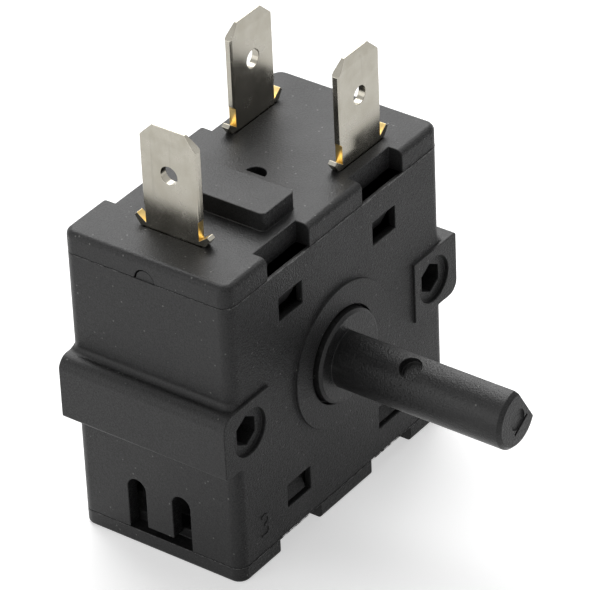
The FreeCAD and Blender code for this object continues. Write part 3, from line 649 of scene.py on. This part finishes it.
def smooth_hole(form, centre, axis, radius):
    """Splits the facets of a round hole and moves every point of its wall onto the circle."""
    flat = [i for i in range(3) if i != axis]

    def from_axis(vertex):
        return Vector([vertex.co[i] - centre[i] for i in flat])

    def on_wall(vertex):
        return abs(from_axis(vertex).length - radius) < hole_slack

    def on_rim(edge):
        rise = abs(edge.verts[0].co[axis] - edge.verts[1].co[axis])
        return rise < rim_lean * edge.calc_length()

    wall = [face for face in form.faces
            if abs(face.normal[axis]) < wall_lean and all(map(on_wall, face.verts))]
    rim = dict.fromkeys(edge for face in wall for edge in face.edges if on_rim(edge))
    bmesh.ops.subdivide_edges(form, edges=list(rim), cuts=hole_cuts, use_grid_fill=True)
    for vertex in filter(on_wall, form.verts):
        for i, value in zip(flat, from_axis(vertex).normalized() * radius):
            vertex.co[i] = centre[i] + value


nickel = sheet_metal("nickel_plating", (0.39, 0.371, 0.322), (0.328, 0.31, 0.262),
                     roughness=(0.19, 0.30), rolled_along="Z", worn=0.5)
cut_brass = sheet_metal("sheared_brass", (0.80, 0.63, 0.30), (0.52, 0.37, 0.13),
                        roughness=(0.30, 0.44), rolled_along="Z")

tab_edge = 0.05 * mm
tab_least_angle = math.radians(12)
tab_half_width = 3.15 * mm
tab_hole_radius = 0.92 * mm
tab_hole_below_tip = 4.65 * mm
barb_cut_depth = 0.2 * mm
barb_cut_slack = 0.06 * mm
barb_cut_low, barb_cut_high = 0.5 * mm, 2.65 * mm
barb_height = 1.3 * mm
outward_limit, inward_limit = 0.4, -0.3
above_barbs = 4 * mm
case_height = 32.35 * mm
cover_top = cad_box[0][2] + case_height
tab_axes = {"common_terminal": 1, "front_terminal": 0, "rear_terminal": 0}


def is_sheared(face, across, middle):
    """True on the cuts in a tab's edges and on the inner faces of the barbs bent out of them."""
    height = face.center.z - cover_top
    offset = abs(face.center[across] - middle)
    outward = face.normal[across] * math.copysign(1, face.center[across] - middle)
    cut_line = tab_half_width - barb_cut_depth
    in_cut = cut_line - barb_cut_slack < offset < tab_half_width and outward > outward_limit
    on_barb = offset > cut_line and outward < inward_limit
    return (in_cut and barb_cut_low < height < barb_cut_high) or (
        on_barb and 0 < height < barb_height)


for node, across in tab_axes.items():
    low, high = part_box(node)
    hole = [(low[i] + high[i]) / 2 for i in range(2)] + [high[2] - tab_hole_below_tip]
    tab = rounded_copy(node, "plated_" + node, tab_edge,
                       lambda form: smooth_hole(form, hole, 1 - across, tab_hole_radius),
                       tab_least_angle)
    dress(tab, nickel, "case", "nickel_plated_brass", node)
    tab.data.materials.append(cut_brass)
    blade = [v.co[across] for v in tab.data.vertices if v.co.z > cover_top + above_barbs]
    middle = (min(blade) + max(blade)) / 2
    for face in tab.data.polygons:
        if is_sheared(face, across, middle):
            face.material_index = 1


# Retaining fork and detent spring.
# A punched, zinc-plated steel fork in the camshaft's groove and a bowed spring leaf under its star.

steel = sheet_metal("zinc_plated_steel", (0.62, 0.62, 0.60), (0.50, 0.50, 0.49),
                    roughness=(0.28, 0.42), rolled_along="Z")
fork = rounded_copy("retaining_fork", "punched_retaining_fork", edge_radius=0.05 * mm)
dress(fork, steel, "case", "plated_steel", "retaining_fork")
spring_steel = sheet_metal("rolled_spring_steel", (0.56, 0.57, 0.58), (0.42, 0.43, 0.44),
                           roughness=(0.22, 0.34), rolled_along="X")
spring = rounded_copy("detent_spring", "bowed_detent_spring", edge_radius=0.04 * mm)
dress(spring, spring_steel, "case", "spring_steel", "detent_spring")


# Contact blades.
# Two flat spring strips of rolled bronze that carry the moving contacts. They are riveted at the
# left, and the pushers bend them upwards.

bronze = sheet_metal("rolled_bronze", (0.78, 0.50, 0.30), (0.66, 0.39, 0.21),
                     roughness=(0.24, 0.36), rolled_along="X")
blade_edge = 0.03 * mm
bend_rows = 12
bend_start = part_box("blade_rivets")[1][0]


def cut_rows(form, start, end):
    """Cuts a strip across X in even rows, so that it can bend between two places."""
    for row in range(bend_rows + 1):
        x = start + (end - start) * row / bend_rows
        bmesh.ops.bisect_plane(form, geom=form.verts[:] + form.edges[:] + form.faces[:],
                               plane_co=(x, 0, 0), plane_no=(1, 0, 0))


for side in ("front", "rear"):
    bend_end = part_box(side + "_pusher")[0][0]
    blade = rounded_copy(side + "_contact_blade", side + "_bronze_blade", blade_edge,
                         lambda form: cut_rows(form, bend_start, bend_end))
    dress(blade, bronze, "case", "spring_bronze", side + "_contact_blade",
          bending=(side + "_plunger", (bend_start, 0, 0), (bend_end, 0, 0)))


# Contacts.
# Riveted silver buttons, two on the blades and two on the tabs' shelves. A moving one rises with
# its pusher until it meets the fixed one.

silver = sheet_metal("contact_silver", (0.88, 0.87, 0.84), (0.76, 0.75, 0.71),
                     roughness=(0.26, 0.40), rolled_along="X")
button_edge = 0.08 * mm
pusher_lift = 1.35 * mm
contact_play = 0.01 * mm
far_off = 1.0


def rising(side):
    """How a moving contact follows its pusher: whole, by the share of its lift it can rise."""
    moving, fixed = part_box(side + "_moving_contact"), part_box(side + "_fixed_contact")
    share = min(1.0, (fixed[0][2] - moving[1][2] - contact_play) / pusher_lift)
    # The blend is a smooth step between two ends. With both far off it is even over the contact,
    # and this is how far along it the contact has to lie to get its share.
    step = 0.5 - math.sin(math.asin(1 - 2 * share) / 3)
    middle = (moving[0][0] + moving[1][0]) / 2
    return (side + "_plunger", (middle - far_off * step, 0, 0),
            (middle + far_off * (1 - step), 0, 0))


for side in ("front", "rear"):
    for kind, bending in (("moving", rising(side)), ("fixed", ())):
        node = f"{side}_{kind}_contact"
        button = rounded_copy(node, f"{side}_{kind}_silver_button", button_edge)
        dress(button, silver, "case", "contact_silver", node, bending=bending)


# Blade rivets.
# Two turned brass rivets, closed in a press, hold the blades on the common tab's foot.

rivet_brass = sheet_metal("rivet_brass", (0.80, 0.60, 0.28), (0.66, 0.47, 0.19),
                          roughness=(0.26, 0.38), rolled_along="X")
rivets = rounded_copy("blade_rivets", "brass_blade_rivets", edge_radius=0.1 * mm)
dress(rivets, rivet_brass, "case", "rivet_brass", "blade_rivets")


# Pushers.
# Two plungers moulded in natural-coloured plastic. They stand on the cams and lift the blades.

pusher_cream = moulded_plastic("pusher_cream", (0.78, 0.75, 0.66), roughness=0.40,
                               front_grain=0.3, side_grain=0.3)
for side in ("front", "rear"):
    pusher = rounded_copy(side + "_pusher", side + "_cream_pusher", edge_radius=0.08 * mm)
    dress(pusher, pusher_cream, side + "_plunger", "pusher_plastic", side + "_pusher")
